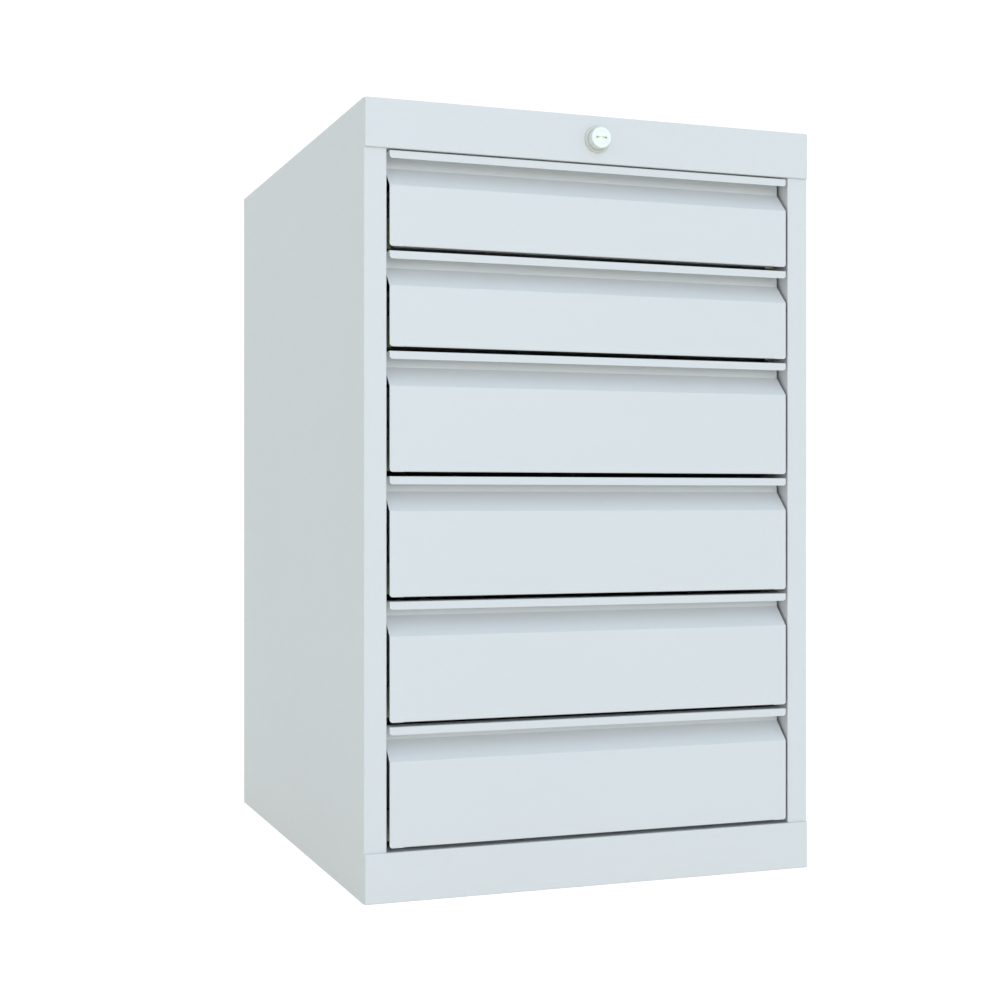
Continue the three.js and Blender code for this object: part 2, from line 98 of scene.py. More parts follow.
def shader_group(name, inputs, outputs):
    """A node group with named sockets: inputs are (name, kind, value), outputs are (name, kind)."""
    tree = bpy.data.node_groups.new(name, "ShaderNodeTree")
    for label, kind, value in inputs:
        tree.interface.new_socket(label, in_out="INPUT", socket_type=kind).default_value = value
    for label, kind in outputs:
        tree.interface.new_socket(label, in_out="OUTPUT", socket_type=kind)
    return tree, tree.nodes.new("NodeGroupInput").outputs, tree.nodes.new("NodeGroupOutput").inputs


def powder_skin():
    """Baked powder: orange peel with a finer grain in it, and colour and gloss that drift a little."""
    tree, given, wanted = shader_group(
        "Powder skin",
        [("Colour", "NodeSocketColor", (0.8, 0.8, 0.8, 1)), ("Roughness", "NodeSocketFloat", 0.5),
         ("Peel Size", "NodeSocketFloat", 0.0012), ("Drift", "NodeSocketFloat", 0.03)],
        [("Colour", "NodeSocketColor"), ("Roughness", "NodeSocketFloat"), ("Height", "NodeSocketFloat")])
    where = node(tree, "ShaderNodeTexCoord").outputs["Object"]
    fineness = calculate(tree, "DIVIDE", 1.0, given["Peel Size"])
    peel = noise(tree, where, fineness, 1.0)
    grain = noise(tree, where, calculate(tree, "MULTIPLY", fineness, 3.7), 2.0)
    height = calculate(tree, "ADD", peel, calculate(tree, "MULTIPLY", grain, 0.35))
    tree.links.new(height, wanted["Height"])
    broad = calculate(tree, "SUBTRACT", noise(tree, where, 3.1, 3.0), 0.5)
    lift = calculate(tree, "ADD", 1.0, calculate(tree, "MULTIPLY", broad, given["Drift"]))
    shade = node(tree, "ShaderNodeVectorMath", {0: given["Colour"], "Scale": lift}, operation="SCALE")
    tree.links.new(shade.outputs[0], wanted["Colour"])
    patches = calculate(tree, "SUBTRACT", noise(tree, where, 41.0, 3.0), 0.5)
    rough = calculate(tree, "ADD", given["Roughness"], calculate(tree, "MULTIPLY", patches, 0.09))
    tree.links.new(rough, wanted["Roughness"])
    return tree


def edge_mask():
    """1 where the surface turns over an edge within the given radius, broken up as handling breaks it."""
    tree, given, wanted = shader_group(
        "Edge mask", [("Radius", "NodeSocketFloat", 0.0008), ("Strength", "NodeSocketFloat", 1.0)],
        [("Mask", "NodeSocketFloat")])
    rounded = node(tree, "ShaderNodeBevel", {"Radius": given["Radius"]}, samples=4).outputs[0]
    true = node(tree, "ShaderNodeNewGeometry").outputs["Normal"]
    facing = node(tree, "ShaderNodeVectorMath", {0: rounded, 1: true}, operation="DOT_PRODUCT")
    away = calculate(tree, "SUBTRACT", 1.0, facing.outputs["Value"])
    turn = calculate(tree, "MULTIPLY", away, 4.0, clamp=True)
    where = node(tree, "ShaderNodeTexCoord").outputs["Object"]
    patchy = calculate(tree, "ADD", 0.35, noise(tree, where, 70.0, 4.0))
    broken = calculate(tree, "MULTIPLY", turn, patchy)
    mask = calculate(tree, "MULTIPLY", broken, given["Strength"], clamp=True)
    tree.links.new(mask, wanted["Mask"])
    return tree


def dust_film():
    """A thin, uneven film that lies only on what faces upwards."""
    tree, given, wanted = shader_group(
        "Dust film", [("Amount", "NodeSocketFloat", 0.2)], [("Mask", "NodeSocketFloat")])
    normal = node(tree, "ShaderNodeNewGeometry").outputs["Normal"]
    up = node(tree, "ShaderNodeSeparateXYZ", {0: normal}).outputs["Z"]
    level = node(tree, "ShaderNodeMapRange", {"Value": up, "From Min": 0.7, "From Max": 1.0}).outputs[0]
    where = node(tree, "ShaderNodeTexCoord").outputs["Object"]
    cloud = calculate(tree, "ADD", 0.25, noise(tree, where, 17.0, 5.0))
    lying = calculate(tree, "MULTIPLY", level, cloud)
    mask = calculate(tree, "MULTIPLY", lying, given["Amount"], clamp=True)
    tree.links.new(mask, wanted["Mask"])
    return tree


POWDER_SKIN, EDGE_MASK, DUST_FILM = powder_skin(), edge_mask(), dust_film()


def grouped(tree, group, **values):
    made = tree.nodes.new("ShaderNodeGroup")
    made.node_tree = group
    for key, value in values.items():
        made.inputs[key.replace("_", " ")].default_value = value
    return made.outputs


def new_material(name):
    material = bpy.data.materials.new(name)
    material.use_nodes = True
    tree = material.node_tree
    return material, tree, tree.nodes["Principled BSDF"].inputs


def powder_coat(name, colour, roughness, dust):
    material, tree, shader = new_material(name)
    skin = grouped(tree, POWDER_SKIN, Colour=(*colour, 1), Roughness=roughness)
    # The edges are mixed to a lighter, cooler grey: partly a thinner coat there, partly a painted highlight.
    worn = grouped(tree, EDGE_MASK, Strength=0.5)["Mask"]
    dusty = grouped(tree, DUST_FILM, Amount=dust)["Mask"]
    thin_coat_and_painted_highlight = mixed_colour(tree, worn, skin["Colour"], (0.80, 0.83, 0.84, 1))
    tree.links.new(mixed_colour(tree, dusty, thin_coat_and_painted_highlight, (0.62, 0.60, 0.56, 1)), shader["Base Color"])
    tree.links.new(calculate(tree, "ADD", skin["Roughness"], calculate(tree, "MULTIPLY", dusty, 0.3)),
                   shader["Roughness"])
    bump = node(tree, "ShaderNodeBump", {"Height": skin["Height"], "Strength": 0.35, "Distance": 0.00006})
    tree.links.new(bump.outputs[0], shader["Normal"])
    shader["IOR"].default_value = 1.5
    return material


light_grey = powder_coat("light grey powder coat", (0.652, 0.662, 0.660), 0.46, 0.10)


def bent_line(corners, radius, steps):
    """Stations (developed length, point) down the centre line of a folded sheet, and each corner's length."""
    points = [Vector(corner) for corner in corners]
    stations, marks = [(0.0, points[0])], [0.0]
    for before, corner, after in zip(points, points[1:], points[2:]):
        back, on = (before - corner).normalized(), (after - corner).normalized()
        half = back.angle(on) / 2
        centre = corner + (back + on).normalized() * (radius / math.sin(half))
        start = corner + back * (radius / math.tan(half)) - centre
        sweep = math.copysign(math.pi - 2 * half, on.x * back.y - on.y * back.x)
        length = stations[-1][0] + (centre + start - stations[-1][1]).length
        marks.append(length + radius * abs(sweep) / 2)
        for step in range(steps + 1):
            arm = Matrix.Rotation(sweep * step / steps, 2) @ start
            stations.append((length + radius * abs(sweep) * step / steps, centre + arm))
    marks.append(stations[-1][0] + (points[-1] - stations[-1][1]).length)
    stations.append((marks[-1], points[-1]))
    return stations, marks


def station_at(stations, length):
    """The point at a developed length, and the unit normal to its left."""
    for (low, first), (high, second) in zip(stations, stations[1:]):
        if length <= high + 1e-9 and high > low:
            along = (second - first).normalized()
            return first.lerp(second, (length - low) / (high - low)), Vector((-along.y, along.x))
    raise ValueError(f"{length} is past the end of the sheet")


def in_space(axis, point, across):
    """A point of the section, at a place along the fold lines, which run along the axis."""
    if axis == "x":
        return Vector((across, point.x, point.y))
    if axis == "y":
        return Vector((point.x, across, point.y))
    return Vector((point.x, point.y, across))


def mirrored(half):
    """A whole outline from the half of it on the positive side of its middle line."""
    return [(length, -across) for length, across in half] + half[::-1]


def rectangle(lengths, acrosses):
    low, high = lengths
    return [(low, acrosses[0]), (high, acrosses[0]), (high, acrosses[1]), (low, acrosses[1])]


def round_hole(length, across, radius, count=14):
    turns = [2 * math.pi * i / count for i in range(count)]
    return [(length + radius * math.cos(a), across + radius * math.sin(a)) for a in turns]


def linked(name, mesh, material=None):
    piece = bpy.data.objects.new(name, mesh)
    bpy.context.scene.collection.objects.link(piece)
    if material:
        mesh.materials.append(material)
    return piece


def finished(piece, thickness=0.0, edge=EDGE):
    """Gives a flat sheet its thickness, softens its edges and keeps the result as the mesh."""
    for face in piece.data.polygons:
        face.use_smooth = True
    if thickness:
        wall = piece.modifiers.new("wall", "SOLIDIFY")
        wall.thickness, wall.offset, wall.use_even_offset = thickness, 0, True
    if edge:
        softened = piece.modifiers.new("edges", "BEVEL")
        softened.width, softened.segments, softened.limit_method = edge, 2, "ANGLE"
        softened.angle_limit = math.radians(40)
    normals = piece.modifiers.new("normals", "WEIGHTED_NORMAL")
    normals.keep_sharp = True
    return settled(piece)


def settled(piece):
    """Replaces a piece's mesh by what its modifiers make of it."""
    graph = bpy.context.evaluated_depsgraph_get()
    mesh = bpy.data.meshes.new_from_object(
        piece.evaluated_get(graph), preserve_all_data_layers=True, depsgraph=graph)
    piece.modifiers.clear()
    piece.data = mesh
    mesh.name = piece.name
    return piece


def folded_sheet(name, material, axis, corners, outline, tabs=(), holes=(), flat_ends=None,
                 thickness=SHEET, radius=BEND, steps=6):
    """Cuts a blank to an outline of (length, across) points and folds it. Each of the tabs, as (lowest and
    highest length, fold line), is the part of the blank outside its fold lines, folded back at both sides.
    Flat ends, as (length, across), are the parts further out and before that length, which stay unbent."""
    stations, marks = bent_line(corners, radius, steps)
    loops = [outline(marks)] + [hole(marks) for hole in holes]
    reach = max(abs(across) for _, across in loops[0]) + 0.01
    points, faces = [], []
    for loop in loops:
        faces.append(list(range(len(points), len(points) + len(loop))))
        points += loop
    creases = [((length, -reach - 1), (length, reach + 1)) for length, _ in stations[1:-1]]
    folds = [(low(marks), high(marks), fold) for low, high, fold in tabs]
    for low, high, fold in folds:
        for step in range(steps + 1):
            line = fold + radius * math.pi / 2 * step / steps
            creases += [((low, side * line), (high, side * line)) for side in (-1, 1)]
    lines = []
    for crease in creases:
        lines.append((len(points), len(points) + 1))
        points += crease
    flat = [Vector(point) * 1000 for point in points]
    vertices, _, cells, _, _, owners = delaunay_2d_cdt(flat, lines, faces, 4, 1e-5)

    def placed(vertex):
        length, across = vertex / 1000
        point, normal = station_at(stations, min(max(length, 0.0), marks[-1]))
        if flat_ends and abs(across) > flat_ends[1] and length < flat_ends[0](marks):
            point, normal = station_at(stations, flat_ends[0](marks))
            point = point + Vector((normal.y, -normal.x)) * (length - flat_ends[0](marks))
        for low, high, fold in folds:
            past = abs(across) - fold
            if low - 1e-7 <= length <= high + 1e-7 and past > 0:
                angle = min(past / radius, math.pi / 2)
                sunk = radius * (1 - math.cos(angle)) + max(0.0, past - radius * math.pi / 2)
                across = math.copysign(fold + radius * math.sin(angle), across)
                point = point - normal * sunk
        return in_space(axis, point, across)

    mesh = bpy.data.meshes.new(name)
    kept = [cell for cell, owner in zip(cells, owners) if owner == [0]]
    mesh.from_pydata([placed(vertex) for vertex in vertices], [], kept)
    tidy = bmesh.new()
    tidy.from_mesh(mesh)
    loose = [vertex for vertex in tidy.verts if not vertex.link_faces]
    bmesh.ops.delete(tidy, geom=loose, context="VERTS")
    tidy.to_mesh(mesh)
    tidy.free()
    return finished(linked(name, mesh, material), thickness)


def fit(piece, body, slot, *nodes):
    """Fixes a finished piece to a body and hides the parts of the frame it stands for. Its slot is not used.
    """
    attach(piece, body)
    if nodes:
        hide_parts(*nodes)
    return piece


for side, hand in ((-1, "left"), (1, "right")):
    low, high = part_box(f"{hand}_side_panel")
    skin = side * (max(abs(low.x), abs(high.x)) - SHEET / 2)
    flange = side * (min(abs(low.x), abs(high.x)) + SHEET / 2)
    front, back = low.y + SHEET / 2, high.y - SHEET / 2
    stile_top = high.z - SHEET - STILE_TO_TOP
    section = [(flange, back - STILE_RETURN), (flange, back), (skin, back),
               (skin, front), (flange, front), (flange, front + STILE_RETURN)]
    panel = folded_sheet(
        f"{hand}_side", light_grey, "z", section,
        lambda marks: [(0, 0), (marks[-1], 0), (marks[-1], stile_top), (marks[3], stile_top),
                       (marks[3], high.z), (marks[2], high.z), (marks[2], stile_top), (0, stile_top)])
    fit(panel, "cabinet", "powder_coat", f"{hand}_side_panel")
    inside = skin - side * (SHEET + 0.0003)
    angle = folded_sheet(
        f"{hand}_foot_angle", light_grey, "y",
        [(inside, ANGLE_HEIGHT), (inside, SHEET / 2), (flange + side * 0.003, SHEET / 2)],
        lambda marks: rectangle((0, marks[-1]), (front + ANGLE_INSET, back - ANGLE_INSET)))
    fit(angle, "cabinet", "powder_coat")

# ---- Top panel with the header --------------------------------------------------------------------
# One blank: a short return at the bottom, the header, the top and a flange down the back. The header's
# ends are turned back 2.4 mm over the stiles, and the top's long edges go down inside the two skins.
# Its folds are tighter than elsewhere, and the header's corners are welded shut and ground round.
CAP_RETURN = 0.0024
CAP_BEND = 0.0006
LOWER_RETURN = 0.025
BETWEEN_STILES = 0.0004
INSIDE_SKIN = SHEET + 0.0003
TOP_FLANGE = 0.024
END_NOTCH = 0.0019
SHOULDER = 0.004
FLANGE_FROM = 0.008
FLANGE_TO = 0.006
SLEEVE_HOLE = 0.013
GROUND_OFF = 0.00001

top_low, top_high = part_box("top_panel")
stile_inner = -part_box("left_side_panel")[1].x
cap_fold = top_high.x - SHEET / 2 - CAP_BEND
cap_tab = cap_fold + CAP_RETURN - SHEET / 2 - CAP_BEND + CAP_BEND * math.pi / 2
skin_fold = -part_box("left_side_panel")[0].x - INSIDE_SKIN - SHEET / 2 - CAP_BEND
between = stile_inner - BETWEEN_STILES
lock_low, lock_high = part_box("lock_housing")
lock_z = (lock_low.z + lock_high.z) / 2


def flat_from(marks):
    """Where the upright face between the first two folds starts to be flat."""
    return marks[1] + CAP_BEND * math.pi / 4


def flat_to(marks):
    return marks[2] - CAP_BEND * math.pi / 4


def ground_corners(name, face, low_z, high_z):
    """The four corners of an upright face, welded shut and ground to the radius of its folds."""
    shape = bmesh.new()
    for across in (-cap_fold, cap_fold):
        for height in (low_z + SHEET / 2 + CAP_BEND, high_z - SHEET / 2 - CAP_BEND):
            place = Matrix.Translation((across, face + CAP_BEND, height))
            bmesh.ops.create_icosphere(
                shape, subdivisions=3, radius=CAP_BEND + SHEET / 2 - GROUND_OFF, matrix=place)
    mesh = bpy.data.meshes.new(name)
    shape.to_mesh(mesh)
    shape.free()
    return finished(linked(name, mesh, light_grey), edge=0)


def top_outline(marks):
    plate_tab = skin_fold + CAP_BEND * math.pi / 2 + TOP_FLANGE - CAP_BEND
    plate_end = marks[3] - CAP_BEND * math.pi / 4
    return mirrored([
        (0, between), (marks[1] - END_NOTCH, between), (marks[1] - END_NOTCH, cap_fold),
        (flat_from(marks), cap_fold), (flat_from(marks), cap_tab), (flat_to(marks), cap_tab),
        (flat_to(marks), cap_fold), (marks[2] + SHOULDER, cap_fold), (marks[2] + SHOULDER, skin_fold),
        (marks[2] + FLANGE_FROM, skin_fold), (marks[2] + FLANGE_FROM, plate_tab),
        (marks[3] - FLANGE_TO, plate_tab), (marks[3] - FLANGE_TO, skin_fold),
        (plate_end, skin_fold), (plate_end, between),
        (marks[4], between)])


top_face = top_low.y + SHEET / 2
top_level = top_high.z - SHEET / 2
top = folded_sheet(
    "top_and_header", light_grey, "x",
    [(top_low.y + LOWER_RETURN, top_low.z + SHEET / 2), (top_face, top_low.z + SHEET / 2),
     (top_face, top_level), (top_high.y - SHEET / 2, top_level),
     (top_high.y - SHEET / 2, top_level - TOP_FLANGE)],
    top_outline,
    tabs=[(flat_from, flat_to, cap_fold),
          (lambda marks: marks[2] + FLANGE_FROM, lambda marks: marks[3] - FLANGE_TO, skin_fold)],
    holes=[lambda marks: round_hole(marks[1] + lock_z - top_low.z, 0, SLEEVE_HOLE, 48)],
    radius=CAP_BEND)
fit(top, "cabinet", "powder_coat", "top_panel")
fit(ground_corners("header_corners", top_face, top_low.z, top_high.z), "cabinet", "powder_coat")

# ---- Base panel with the plinth -------------------------------------------------------------------
# The same way of folding: the plinth in front, the floor plate, and a leg down the back, each leg with
# a return on the floor. The floor plate is notched round the four stile returns.
base_low, base_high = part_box("base_panel")
WING_NOTCH = 0.0665


def base_outline(marks):
    wing_tab = skin_fold + CAP_BEND * math.pi / 2 + TOP_FLANGE - CAP_BEND
    return mirrored([
        (0, between), (marks[1] - END_NOTCH, between), (marks[1] - END_NOTCH, cap_fold),
        (flat_from(marks), cap_fold), (flat_from(marks), cap_tab), (flat_to(marks), cap_tab),
        (flat_to(marks), cap_fold), (marks[2] + END_NOTCH, cap_fold), (marks[2] + END_NOTCH, between),
        (marks[2] + WING_NOTCH, between), (marks[2] + WING_NOTCH, wing_tab),
        (marks[3] - WING_NOTCH, wing_tab), (marks[3] - WING_NOTCH, between), (marks[5], between)])


base_face, base_level = base_low.y + SHEET / 2, base_high.z - SHEET / 2
base_back = base_high.y - SHEET / 2
base = folded_sheet(
    "floor_and_plinth", light_grey, "x",
    [(base_low.y + LOWER_RETURN, SHEET / 2), (base_face, SHEET / 2), (base_face, base_level),
     (base_back, base_level), (base_back, SHEET / 2), (base_back - LOWER_RETURN, SHEET / 2)],
    base_outline,
    tabs=[(flat_from, flat_to, cap_fold),
          (lambda marks: marks[2] + WING_NOTCH, lambda marks: marks[3] - WING_NOTCH, skin_fold)],
    radius=CAP_BEND)
fit(base, "cabinet", "powder_coat", "base_panel")
fit(ground_corners("plinth_corners", base_face, 0.0, base_high.z), "cabinet", "powder_coat")

# ---- Back sheet -----------------------------------------------------------------------------------
# A flat 0.8 mm sheet over the rear stiles, held by blind rivets with domed aluminium heads. Two straps
# on its inside guide the locking bar.
back_low, back_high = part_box("back_panel")
BACK_SHEET = 0.0008
RIVET_PITCH = 0.108
RIVET_CORNER = 0.1187
STRAP = 0.0012
STRAP_AHEAD = 0.0012
STRAP_HEIGHT = 0.014
STRAP_FOOT_END = 0.022
BAR_THICKNESS = 0.0025


def turned_mesh(name, outline, sides):
    """A solid of revolution about Z through the origin, from an outline of (radius, height) points."""
    mesh = bpy.data.meshes.new(name)
    shape = bmesh.new()
    rings = []
    for radius, height in outline:
        if radius < 1e-9:
            rings.append([shape.verts.new((0, 0, height))])
            continue
        turns = [2 * math.pi * i / sides for i in range(sides)]
        rings.append([shape.verts.new((radius * math.cos(a), radius * math.sin(a), height)) for a in turns])
    for lower, upper in zip(rings, rings[1:]):
        for i in range(sides):
            j = (i + 1) % sides
            corners = [lower[i % len(lower)], lower[j % len(lower)],
                       upper[j % len(upper)], upper[i % len(upper)]]
            shape.faces.new(list(dict.fromkeys(corners)))
    bmesh.ops.recalc_face_normals(shape, faces=shape.faces)
    for face in shape.faces:
        face.smooth = True
    shape.to_mesh(mesh)
    shape.free()
    return mesh


def arc(centre, radius, first, last, steps):
    """Points on an arc between two angles in degrees."""
    turns = [math.radians(first + (last - first) * i / steps) for i in range(steps + 1)]
    return [(centre[0] + radius * math.cos(a), centre[1] + radius * math.sin(a)) for a in turns]


def fastener_rows():
    """Geometry nodes that set one fastener after another along every edge of the mesh they are given."""
    tree = bpy.data.node_groups.new("Fastener rows", "GeometryNodeTree")
    for label, kind in (("Lines", "NodeSocketGeometry"), ("Fastener", "NodeSocketObject"),
                        ("Spacing", "NodeSocketFloat"), ("Turn", "NodeSocketRotation"),
                        ("Finish", "NodeSocketMaterial")):
        tree.interface.new_socket(label, in_out="INPUT", socket_type=kind)
    tree.interface.new_socket("Fasteners", in_out="OUTPUT", socket_type="NodeSocketGeometry")
    given, wanted = tree.nodes.new("NodeGroupInput").outputs, tree.nodes.new("NodeGroupOutput").inputs
    shape = node(tree, "GeometryNodeObjectInfo", {"Object": given["Fastener"]}).outputs["Geometry"]
    edges = node(tree, "GeometryNodeSplitEdges", {"Mesh": given["Lines"]}).outputs[0]
    curves = node(tree, "GeometryNodeMeshToCurve", {"Mesh": edges}).outputs[0]
    points = node(tree, "GeometryNodeResampleCurve",
                  {"Curve": curves, "Length": given["Spacing"]}, mode="LENGTH")
    rows = node(tree, "GeometryNodeInstanceOnPoints",
                {"Points": points.outputs[0], "Instance": shape, "Rotation": given["Turn"]}).outputs[0]
    real = node(tree, "GeometryNodeRealizeInstances", {0: rows}).outputs[0]
    done = node(tree, "GeometryNodeSetMaterial", {"Geometry": real, "Material": given["Finish"]}).outputs[0]
    tree.links.new(done, wanted[0])
    return tree


FASTENER_ROWS = fastener_rows()


def fasteners(name, lines, pattern, spacing, turn, finish):
    """Rows of one fastener, from pairs of end points; the pattern is a mesh whose head points along +Z."""
    mesh = bpy.data.meshes.new(name)
    ends = [end for line in lines for end in line]
    mesh.from_pydata(ends, [(i, i + 1) for i in range(0, len(ends), 2)], [])
    piece = linked(name, mesh)
    sample = linked(f"{name}_sample", pattern)
    rows = piece.modifiers.new("rows", "NODES")
    rows.node_group = FASTENER_ROWS
    sockets = {item.name: item.identifier
               for item in FASTENER_ROWS.interface.items_tree if item.in_out == "INPUT"}
    for label, value in (("Fastener", sample), ("Spacing", spacing), ("Turn", turn), ("Finish", finish)):
        rows[sockets[label]] = value
    settled(piece)
    bpy.data.objects.remove(sample)
    return piece


def stretched_noise(tree, where, squeeze, scale, detail):
    """Noise drawn out along the axes whose factor is small."""
    made = node(tree, "ShaderNodeMapping", {"Vector": where, "Scale": squeeze})
    return noise(tree, made.outputs[0], scale, detail)


def bare_metal(name, colour, roughness, streak_axis, drift=0.12, metallic=1.0, wear=0.8):
    """Metal with the faint lines of rolling or drawing along one axis, and patches of duller surface."""
    material, tree, shader = new_material(name)
    where = node(tree, "ShaderNodeTexCoord").outputs["Object"]
    squeeze = [400.0, 400.0, 400.0]
    squeeze["xyz".index(streak_axis)] = 6.0
    lines = stretched_noise(tree, where, squeeze, 5.0, 3.0)
    patches = noise(tree, where, 55.0, 4.0)
    darker = tuple(channel * (1 - 2 * drift) for channel in colour)
    tone = mixed_colour(tree, patches, (*darker, 1), (*colour, 1))
    worn = grouped(tree, EDGE_MASK, Strength=wear)["Mask"]
    dusty = grouped(tree, DUST_FILM, Amount=0.15)["Mask"]
    bright = mixed_colour(tree, worn, tone, (0.75, 0.74, 0.70, 1))
    tree.links.new(mixed_colour(tree, dusty, bright, (0.45, 0.43, 0.40, 1)), shader["Base Color"])
    spread = calculate(tree, "MULTIPLY", calculate(tree, "SUBTRACT", lines, 0.5), 0.3)
    dulled = calculate(tree, "ADD", spread, calculate(tree, "MULTIPLY", dusty, 0.4))
    rough = calculate(tree, "ADD", roughness, dulled)
    tree.links.new(rough, shader["Roughness"])
    bump = node(tree, "ShaderNodeBump", {"Height": lines, "Strength": 0.2, "Distance": 0.00003})
    tree.links.new(bump.outputs[0], shader["Normal"])
    shader["Metallic"].default_value = metallic
    return material


rivet_aluminium = bare_metal("rivet aluminium", (0.72, 0.73, 0.74), 0.34, "z")
back_y = back_high.y - BACK_SHEET / 2
sheet = folded_sheet(
    "back_sheet", light_grey, "x", [(back_y, back_low.z), (back_y, back_high.z)],
    lambda marks: rectangle((0, marks[-1]), (back_low.x, back_high.x)), thickness=BACK_SHEET)
fit(sheet, "cabinet", "powder_coat", "back_panel")

rivet_head = turned_mesh(
    "rivet_head", [(0, -0.0006), (0.0036, -0.0006), (0.0036, 0.0001), *arc((0, -0.0032), 0.0049, 42, 74, 6),
                   (0.0013, 0.0011), (0, 0.0011)], 20)
rivet_x, rivet_low, rivet_high = stile_inner + 0.012, 0.03, back_high.z - 0.014
face = back_high.y + 0.0001
row_end = rivet_x - RIVET_CORNER
rivet_lines = [((side * rivet_x, face, rivet_low), (side * rivet_x, face, rivet_high)) for side in (-1, 1)]
rivet_lines += [((-row_end, face, height), (row_end, face, height)) for height in (rivet_low, rivet_high)]
rivets = fasteners(
    "back_rivets", rivet_lines, rivet_head, RIVET_PITCH, (math.radians(-90), 0, 0), rivet_aluminium)
fit(rivets, "cabinet", "powder_coat")

strap_out = 0.0117 - STRAP / 2
strap_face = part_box("locking_bar")[1].y - BAR_THICKNESS - STRAP_AHEAD
strap_foot = back_low.y + 0.0068 - STRAP / 2
for place, low_z in (("lower", 0.140), ("upper", 0.640)):
    strap = folded_sheet(
        f"{place}_bar_guide", light_grey, "z",
        [(-STRAP_FOOT_END, strap_foot), (-strap_out, strap_foot), (-strap_out, strap_face),
         (strap_out, strap_face), (strap_out, strap_foot), (STRAP_FOOT_END, strap_foot)],
        lambda marks: rectangle((0, marks[-1]), (low_z, low_z + STRAP_HEIGHT)), thickness=STRAP)
    fit(strap, "cabinet", "powder_coat")

# ---- Drawer fronts --------------------------------------------------------------------------------
# Each front is one blank folded over its whole width: a foot, a hem along the lower edge, the face, a 45
# degree slope, the back of the grip, its roof and the 8 mm lip. The foot and the hem stop short of the
# slides. The foot and the back of the grip are spot-welded to the tray's front wall.
HEM_HEIGHT = 0.008
HEM_SPACING = 0.0017
FRONT_FOOT = 0.020
FOOT_HALF = 0.2085
RIP = 0.0004
LIP_HEIGHT = 0.008
CORNER = 0.003
GRIP_MOUTH = 0.0072
GRIP_SLOPE_DROP = 0.0271


def face_start(marks):
    """Where the face comes out of its lower bend."""
    return marks[4] + BEND * math.pi / 4


def front_outline(half):
    def outline(marks):
        start, end = face_start(marks) - BEND - SHEET / 2, marks[-1]
        low_corner = arc((start + CORNER, half - CORNER), CORNER, 180, 90, 6)
        lip_corner = arc((end - CORNER, half - CORNER), CORNER, 90, 0, 6)
        return mirrored([(0, FOOT_HALF), (face_start(marks), FOOT_HALF), (face_start(marks), FOOT_HALF + RIP),
                         (start, FOOT_HALF + RIP), *low_corner, *lip_corner])

    return outline


DRAWERS = range(1, 7)
for number in DRAWERS:
    low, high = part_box(f"drawer_front_{number}")
    face, grip = low.y + SHEET / 2, high.y - SHEET / 2
    lip_bottom = high.z - LIP_HEIGHT
    foot = low.z + HEM_HEIGHT + SHEET / 2
    drawer_front = folded_sheet(
        f"front_{number}", light_grey, "x",
        [(grip, foot + FRONT_FOOT), (grip, foot), (face + HEM_SPACING, foot),
         (face + HEM_SPACING, low.z + SHEET / 2), (face, low.z + SHEET / 2),
         (face, lip_bottom - GRIP_SLOPE_DROP), (grip, lip_bottom - GRIP_MOUTH), (grip, high.z - SHEET / 2),
         (face, high.z - SHEET / 2), (face, lip_bottom)],
        front_outline(high.x), flat_ends=(face_start, FOOT_HALF + RIP / 2))
    fit(drawer_front, f"drawer_{number}", "powder_coat", f"drawer_front_{number}")

# ---- Trays ----------------------------------------------------------------------------------------
# The floor and both sides of a tray are one folded strip whose top edges are hemmed outwards. The
# front and back walls stand on flanges on the floor and are spot-welded in. Behind hangs the catch tab
# for the locking bar, a small angle with a rectangular hole.
HEM = 0.0026
HEM_DROP = 0.006
RIM_BELOW_FRONT = 0.031
WALL_FLANGE = 0.012
WALL_INSET = 0.003
CATCH_RISE = 0.040
CATCH_FLANGE = 0.014
TAB_REACH = 0.0147
TAB_HALF = 0.012
TAB_HOLE = (0.0097, 0.0032)
TAB_HOLE_HALF = 0.006
TRAY_BEND = 0.0008

